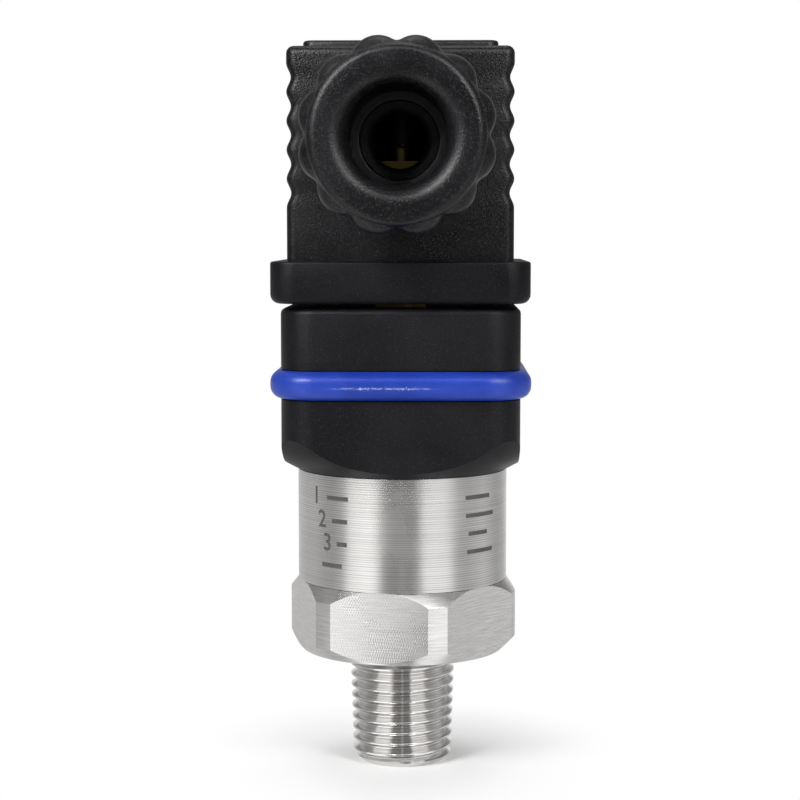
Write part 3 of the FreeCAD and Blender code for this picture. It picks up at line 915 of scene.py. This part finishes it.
def principled(name, color, roughness, metallic=0.0, specular=0.5):
    """A new finish, its node tree and its shader."""
    finishes[name] = bpy.data.materials.new(name)
    finishes[name].use_nodes = True
    tree = finishes[name].node_tree
    shader = tree.nodes["Principled BSDF"]
    feed(tree, shader, {"Base Color": (*color, 1), "Roughness": roughness, "Metallic": metallic,
                        "Specular IOR Level": specular})
    return tree, shader


def moulded(name, dark, pale, roughness, bump, specks=0.06, grain_scale=5000, specular=0.5):
    """Moulded plastic or rubber with grain, specks, painted glints on the grain's tops and dull patches."""
    tree, shader = principled(name, dark, roughness, specular=specular)
    detail = add(tree, "ShaderNodeGroup", {"Grain Scale": grain_scale, "Speck Amount": specks},
                 node_tree=grain).outputs
    tone = blend_color(tree, detail["Patches"], (*dark, 1), (*[part * 1.35 for part in dark], 1))
    # the highest grain is painted towards the pale colour as a painted glint; the pale fibre specks are then
    # joined to it
    painted_glints_and_specks = times(tree, ramp(tree, detail["Height"], 0.52, 0.75), 0.35)
    painted_glints_and_specks = calculate(tree, "MAXIMUM", painted_glints_and_specks, detail["Specks"])
    feed(tree, shader, {
        "Base Color": blend_color(tree, painted_glints_and_specks, tone, (*pale, 1)),
        "Roughness": ramp(tree, detail["Patches"], 0, 1, roughness - 0.04, roughness + 0.05),
        "Normal": relief(tree, bump, grain_depth, detail["Height"])})


moulded("plug_black", (0.0030, 0.0030, 0.0036), (0.05, 0.05, 0.055), 0.31, 0.56, 0.09, 4200, 0.25)
moulded("housing_black", (0.0034, 0.0033, 0.0044), (0.03, 0.03, 0.033), 0.43, 0.35, 0.04, 5200, 0.17)
moulded("gasket_black", (0.0034, 0.0031, 0.0046), (0.03, 0.03, 0.033), 0.42, 0.35, 0.03, 5200, 0.16)
moulded("carrier_black", (0.013, 0.013, 0.014), (0.05, 0.05, 0.05), 0.5, 0.35)
moulded("insert_grey", (0.018, 0.018, 0.019), (0.06, 0.06, 0.06), 0.5, 0.35)
moulded("washer_black", (0.006, 0.006, 0.0065), (0.03, 0.03, 0.03), 0.45, 0.3)
moulded("seal_rubber", (0.005, 0.005, 0.0055), (0.02, 0.02, 0.02), 0.6, 0.4, 0.03)
moulded("chip_black", (0.012, 0.012, 0.013), (0.04, 0.04, 0.04), 0.5, 0.3)
moulded("ceramic", (0.62, 0.60, 0.56), (0.8, 0.79, 0.75), 0.55, 0.2, 0.05)
moulded("laser_grey", (0.055, 0.053, 0.05), (0.12, 0.12, 0.11), 0.6, 0.3, 0.15)
print("mouldings", len(finishes))

# %% [markdown]
# ## The ring's blue
#
# The ring is a soft coloured rubber with a satin skin. It has been rubbed at
# the front: short pale scuffs that run along the ring, with fine ticks across
# them. Both are squeezed noise, limited to the worn stretch.

# %% Blue rubber with scuffs
def between(tree, value, start, end, soft):
    """1 between two values, with soft ends."""
    rise = ramp(tree, value, start - soft, start + soft)
    return times(tree, rise, ramp(tree, value, end - soft, end + soft, 1, 0))


tree, shader = principled("ring_blue", (0.015, 0.05, 0.4), 0.34, specular=0.36)
place = object_place(tree)
apart = split(tree, place)


def scuffs(squeeze, limits, heights, stretch, **more):
    """Squeezed noise, kept between two heights and on a stretch of the ring."""
    squeezed = add(tree, "ShaderNodeMapping", {"Vector": place, "Scale": squeeze}).outputs[0]
    seen = ramp(tree, noise(tree, squeezed, 1, **more), *limits)
    seen = times(tree, between(tree, apart["Z"], *heights), seen)
    return times(tree, seen, between(tree, apart["X"], *stretch))


line = scuffs((1700, 1700, 9000), (0.4, 0.6), (0.0502, 0.05035, 0.0001), (-0.0075, 0.0035, 0.002),
              Detail=3, Roughness=0.7)
ticks = scuffs((6500, 6500, 1800), (0.6, 0.7), (0.0500, 0.0505, 0.00015), (-0.006, 0.0015, 0.002), Detail=2)
front = calculate(tree, "LESS_THAN", apart["Y"], 0)
worn = times(tree, calculate(tree, "MAXIMUM", line, ticks), front)
detail = add(tree, "ShaderNodeGroup", {"Grain Scale": 3800, "Patch Scale": 220}, node_tree=grain).outputs
tone = blend_color(tree, detail["Patches"], (0.008, 0.034, 0.31, 1), (0.012, 0.045, 0.37, 1))
feed(tree, shader, {
    "Base Color": blend_color(tree, times(tree, worn, 0.7), tone, (0.5, 0.58, 0.85, 1)),
    "Normal": relief(tree, 0.3, 0.00005, detail["Height"])})
print("blue made of", len(tree.nodes), "nodes")

# %% [markdown]
# ## Steels and brasses
#
# The plain metals share one recipe. The lines change the tone a little and
# shift the normal along Z, which stretches reflections across the lines, as
# on turned metal. The cloud changes the roughness in broad patches.

# %% Metals with machining lines
def machined(name, dark, pale, roughness, spread, bump, line_scale=9000, run_scale=60):
    """Metal with lines left by a tool."""
    tree, shader = principled(name, pale, roughness, 1.0)
    detail = add(tree, "ShaderNodeGroup", {"Line Scale": line_scale, "Run Scale": run_scale},
                 node_tree=marks).outputs
    feed(tree, shader, {
        "Base Color": blend_color(tree, ramp(tree, detail["Lines"], 0.3, 0.7), (*dark, 1), (*pale, 1)),
        "Roughness": ramp(tree, detail["Cloud"], 0, 1, roughness - spread, roughness + spread),
        "Normal": relief(tree, bump, 0.000015, detail["Lines"])})


machined("tube_steel", (0.49, 0.48, 0.47), (0.63, 0.62, 0.61), 0.26, 0.04, 0.2, 9000, 40)
machined("thread_steel", (0.62, 0.61, 0.60), (0.72, 0.71, 0.70), 0.1, 0.02, 0.03, 12000)
machined("zinc", (0.5, 0.5, 0.49), (0.66, 0.66, 0.65), 0.3, 0.05, 0.2)
# this brass is darkened to about half its own tone, as painted shade for the dark inside of the plug
machined("brass", (0.11, 0.077, 0.028), (0.20, 0.14, 0.052), 0.3, 0.05, 0.2)
machined("tinned", (0.6, 0.6, 0.58), (0.75, 0.75, 0.73), 0.3, 0.05, 0.2)
print("finishes so far", len(finishes))

# %% [markdown]
# ## The milled hexagon and the dulled contacts
#
# The hexagon adds the milling arcs to the lines of the machining group. The
# contact blades are brass that has dulled, and all of it is kept dark as painted
# shade for the narrow gap under the collar: the cloud of that group chooses
# where the metal is still bright.

# %% Two metals with a second layer
tree, shader = principled("hexagon_steel", (0.66, 0.65, 0.64), 0.3, 1.0)
cuts = add(tree, "ShaderNodeGroup", node_tree=milling).outputs["Height"]
detail = add(tree, "ShaderNodeGroup", {"Run Scale": 400, "Feed": 0}, node_tree=marks).outputs
streaks = ramp(tree, calculate(tree, "MULTIPLY_ADD", cuts, 0.24, detail["Lines"]), 0.2, 0.8)
feed(tree, shader, {
    "Base Color": blend_color(tree, streaks, (0.56, 0.55, 0.54, 1), (0.74, 0.73, 0.72, 1)),
    "Roughness": ramp(tree, detail["Cloud"], 0, 1, 0.26, 0.34),
    "Normal": relief(tree, 0.25, 0.00001, calculate(tree, "MULTIPLY_ADD", detail["Lines"], 0.5, cuts))})

tree, shader = principled("blade_brass", (0.3, 0.21, 0.08), 0.35, 1.0)
detail = add(tree, "ShaderNodeGroup", {"Line Scale": 4000}, node_tree=marks).outputs
bright = ramp(tree, detail["Cloud"], 0.2, 0.9)
feed(tree, shader, {
    # dull and bright brass are both kept dark: tarnish, and painted shade for the gap under the collar
    "Base Color": blend_color(tree, bright, (0.15, 0.11, 0.05, 1), (0.44, 0.32, 0.13, 1)),
    "Roughness": ramp(tree, bright, 0, 1, 0.42, 0.32),
    "Normal": relief(tree, 0.2, 0.00002, detail["Lines"])})
print("finishes so far", len(finishes))

# %% [markdown]
# ## The circuit board
#
# The board is hidden, but it still gets a green solder mask with copper lines
# under it. The edges of Voronoi cells make a net of lines.

# %% Green board
tree, shader = principled("board_green", (0.01, 0.09, 0.03), 0.35)
cells = add(tree, "ShaderNodeTexVoronoi", {"Vector": object_place(tree), "Scale": 420},
            feature="DISTANCE_TO_EDGE").outputs["Distance"]
track = ramp(tree, cells, 0.03, 0.06, 1, 0)
feed(tree, shader, {
    "Base Color": blend_color(tree, track, (0.008, 0.075, 0.025, 1), (0.03, 0.16, 0.05, 1)),
    "Normal": relief(tree, 0.3, 0.00003, track)})
print("board made of", len(tree.nodes), "nodes")

# %% [markdown]
# ## Which finish goes where
#
# Most pieces and nodes take the finish with the name of their slot, and a few
# finishes have names of their own. The thread is brighter than the steel
# about it and the marks are burnt grey, so they are picked by name.

# %% Give every piece its finish
renamed = {"steel_turned": "hexagon_steel", "steel_case": "tube_steel", "cell_ceramic": "ceramic",
           "tinned_wire": "tinned", "circuit_board": "board_green", "screw_zinc": "zinc"}
picked_by_name = {"taper_thread": "thread_steel", "mark": "laser_grey"}


def finish_of(name, slot):
    """The finish for a piece or a node."""
    start = name if name in picked_by_name else name.split("_")[0]
    return finishes[picked_by_name.get(start, renamed.get(slot, slot))]


for name, (piece, slot) in pieces.items():
    piece.data.materials.clear()
    piece.data.materials.append(finish_of(name, slot))
for subpart in frame["record"]["subparts"]:
    for spot in frame["nodes"][subpart["node"]].material_slots:
        spot.material = finish_of(subpart["node"], subpart["material_slot"])
print("finished", len(pieces), "pieces and", len(frame["nodes"]), "nodes")

# %% [markdown]
# ## The floor
#
# The floor is pale and keeps the shadow. Far from the part it turns to the
# same white as the world, so no horizon shows.

# %% Floor
def is_seen_ray(tree):
    """1 for rays that show the background itself: camera, glossy and transmission."""
    path = add(tree, "ShaderNodeLightPath").outputs
    either = calculate(tree, "MAXIMUM", path["Is Camera Ray"], path["Is Glossy Ray"])
    return calculate(tree, "MAXIMUM", either, path["Is Transmission Ray"])


floor_shape = bmesh.new()
bmesh.ops.create_circle(floor_shape, cap_ends=True, radius=9, segments=96)
floor = as_object(floor_shape, "floor")
tree, shader = principled("floor_white", (0.9, 0.9, 0.9), 0.9, specular=0.1)
place = object_place(tree)
away = add(tree, "ShaderNodeVectorMath", {0: place}, operation="LENGTH").outputs["Value"]
tone = blend_color(tree, noise(tree, place, 40), (0.89, 0.89, 0.89, 1), (0.91, 0.91, 0.91, 1))
feed(tree, shader, {"Base Color": tone})
glow = add(tree, "ShaderNodeEmission", {"Color": (1, 1, 1, 1), "Strength": 1.0})
cover = times(tree, ramp(tree, away, 0.005, 0.032), is_seen_ray(tree))
mixed = add(tree, "ShaderNodeMixShader", {0: cover, 1: shader.outputs[0], 2: glow.outputs[0]})
feed(tree, tree.nodes["Material Output"], {"Surface": mixed.outputs[0]})
floor.data.materials.append(finishes["floor_white"])
print("floor", len(floor.data.polygons))

# %% [markdown]
# ## World and lamps
#
# The world is white where it is seen and dim where it lights the part, so the
# lamps decide the shading. Two soft lamps stand in front, left and right, and
# a third lights the back from above.

# %% Set the world and three lamps
world_light = 0.18
aim = Vector((0, 0, 0.05))
world = bpy.data.worlds.new("studio")
bpy.context.scene.world = world
world.use_nodes = True
tree = world.node_tree
feed(tree, tree.nodes["Background"], {
    "Color": (1, 1, 1, 1), "Strength": ramp(tree, is_seen_ray(tree), 0, 1, world_light, 1.0)})


def soft_lamp(name, azimuth, elevation, distance, size, watts):
    """A large rectangular lamp that faces the middle of the part."""
    lamp = bpy.data.lights.new(name, "AREA")
    lamp.shape = "RECTANGLE"
    lamp.size, lamp.size_y = size
    lamp.energy = watts
    holder = new_object(name, lamp)
    turn = radians(azimuth)
    rise = radians(elevation)
    toward_lamp = Vector((sin(turn) * cos(rise), -cos(turn) * cos(rise), sin(rise)))
    holder.location = aim + toward_lamp * distance
    holder.rotation_euler = (holder.location - aim).to_track_quat("Z", "Y").to_euler()


soft_lamp("key_lamp", -44, 34, 0.8, (0.26, 0.26), 4.8)
soft_lamp("fill_lamp", 44, 30, 0.8, (0.25, 0.30), 3.2)
soft_lamp("top_lamp", 180, 70, 0.9, (0.6, 0.5), 3.0)
print("lamps", len(bpy.data.lights))

# %% [markdown]
# ## A reflector bowl
#
# Polished steel shows its surroundings more than itself. A low bowl stands
# close about the part. Only mirror-like rays see it, so it adds no light. It
# is bright in some directions and grey in others, which gives the steel its
# upright bands, and it dims with height, which keeps the plastic black.

# %% Reflector bowl
bowl_shape = bmesh.new()
for low, high, low_radius, high_radius in ((0.0005, 0.0125, 0.0078, 0.15), (0.0125, 0.5725, 0.15, 0.16)):
    wall = bmesh.ops.create_cone(bowl_shape, cap_ends=False, segments=96, radius1=low_radius,
                                 radius2=high_radius, depth=high - low)
    bmesh.ops.translate(bowl_shape, vec=(0, 0, (low + high) / 2), verts=wall["verts"])
bmesh.ops.remove_doubles(bowl_shape, verts=bowl_shape.verts, dist=1e-5)
bowl = as_object(bowl_shape, "reflector_bowl")
tree, shader = principled("reflector", (0, 0, 0), 1.0, specular=0.0)
apart = split(tree, object_place(tree))
bearing = calculate(tree, "ARCTAN2", apart["X"], times(tree, apart["Y"], -1))
turn = add(tree, "ShaderNodeMapRange", {"Value": bearing, "From Min": -pi, "From Max": pi}).outputs["Result"]
bands = add(tree, "ShaderNodeValToRGB", {"Fac": turn})
# azimuth in degrees from the front, and how bright the bowl is there
bowl_tones = [(-180, 0.9), (-150, 0.72), (-120, 0.62), (-105, 0.66), (-88, 0.5), (-76, 0.45), (-62, 0.6),
              (-56, 1.3), (-32, 1.6), (-26, 1.45), (-18, 0.4), (-2, 0.3), (1, 0.7), (4, 0.3), (17, 0.34),
              (22, 1.35), (50, 1.25), (58, 0.6), (70, 0.55), (95, 0.8), (120, 0.5), (140, 0.6), (165, 1.0),
              (180, 0.9)]
while len(bands.color_ramp.elements) < len(bowl_tones):
    bands.color_ramp.elements.new(0.5)
for element, (azimuth, tone) in zip(bands.color_ramp.elements, bowl_tones):
    element.position = (azimuth + 180) / 360
    element.color = (tone, tone, tone, 1)
faded = times(tree, bands.outputs["Color"], ramp(tree, apart["Z"], 0.03, 0.06, 1, 0.42))
print("reflector tones", len(bowl_tones))

# %% [markdown]
# ## Windows in the bowl
#
# A glossy moulding shows the small bright shapes of a studio's soft boxes.
# Each is a soft patch on the bowl's wall: two in front, a wide one above them
# and a faint one at the side. The bowl is then hidden from all other rays.

# %% Add the windows
def window(azimuth, half_turn, height, half_height, strength):
    """A bright soft-edged patch on the bowl's wall."""
    across = calculate(tree, "SUBTRACT", bearing, radians(azimuth))
    across = calculate(tree, "DIVIDE", across, radians(half_turn))
    up = calculate(tree, "DIVIDE", calculate(tree, "SUBTRACT", apart["Z"], height), half_height)
    off = calculate(tree, "MULTIPLY_ADD", across, across, times(tree, up, up))
    return ramp(tree, off, 0.5, 1.3, strength, 0)


glare = faded
for place_and_strength in ((-28, 10, 0.15, 0.045, 17), (28, 10, 0.145, 0.045, 9), (0, 42, 0.205, 0.03, 4.5),
                           (-80, 42, 0.33, 0.12, 0.6)):
    glare = calculate(tree, "ADD", glare, window(*place_and_strength))
feed(tree, shader, {"Emission Color": glare, "Emission Strength": 1.0})
bowl.data.materials.append(finishes["reflector"])
bowl.visible_camera = False
bowl.visible_diffuse = False
bowl.visible_transmission = False
bowl.visible_shadow = False
print("reflector made of", len(tree.nodes), "nodes")

# %% [markdown]
# ## Camera
#
# The part is small, so the camera stands close. It looks slightly down and
# is turned a little to one side.

# %% Place the camera
eye_azimuth = radians(1.2)
eye_distance = 0.248
eye_height = 0.0692
tilt = radians(85)
aside = 0.0013157895    # radians past the part's axis
camera_data = bpy.data.cameras.new("camera")
camera_data.sensor_width = 36
camera_data.lens = 85.5
camera = new_object("camera", camera_data)
camera.location = (eye_distance * sin(eye_azimuth), -eye_distance * cos(eye_azimuth), eye_height)
camera.rotation_euler = (tilt, 0, eye_azimuth + aside)
bpy.context.scene.camera = camera
bpy.context.scene.view_settings.view_transform = "Standard"
print("camera", *camera.location)
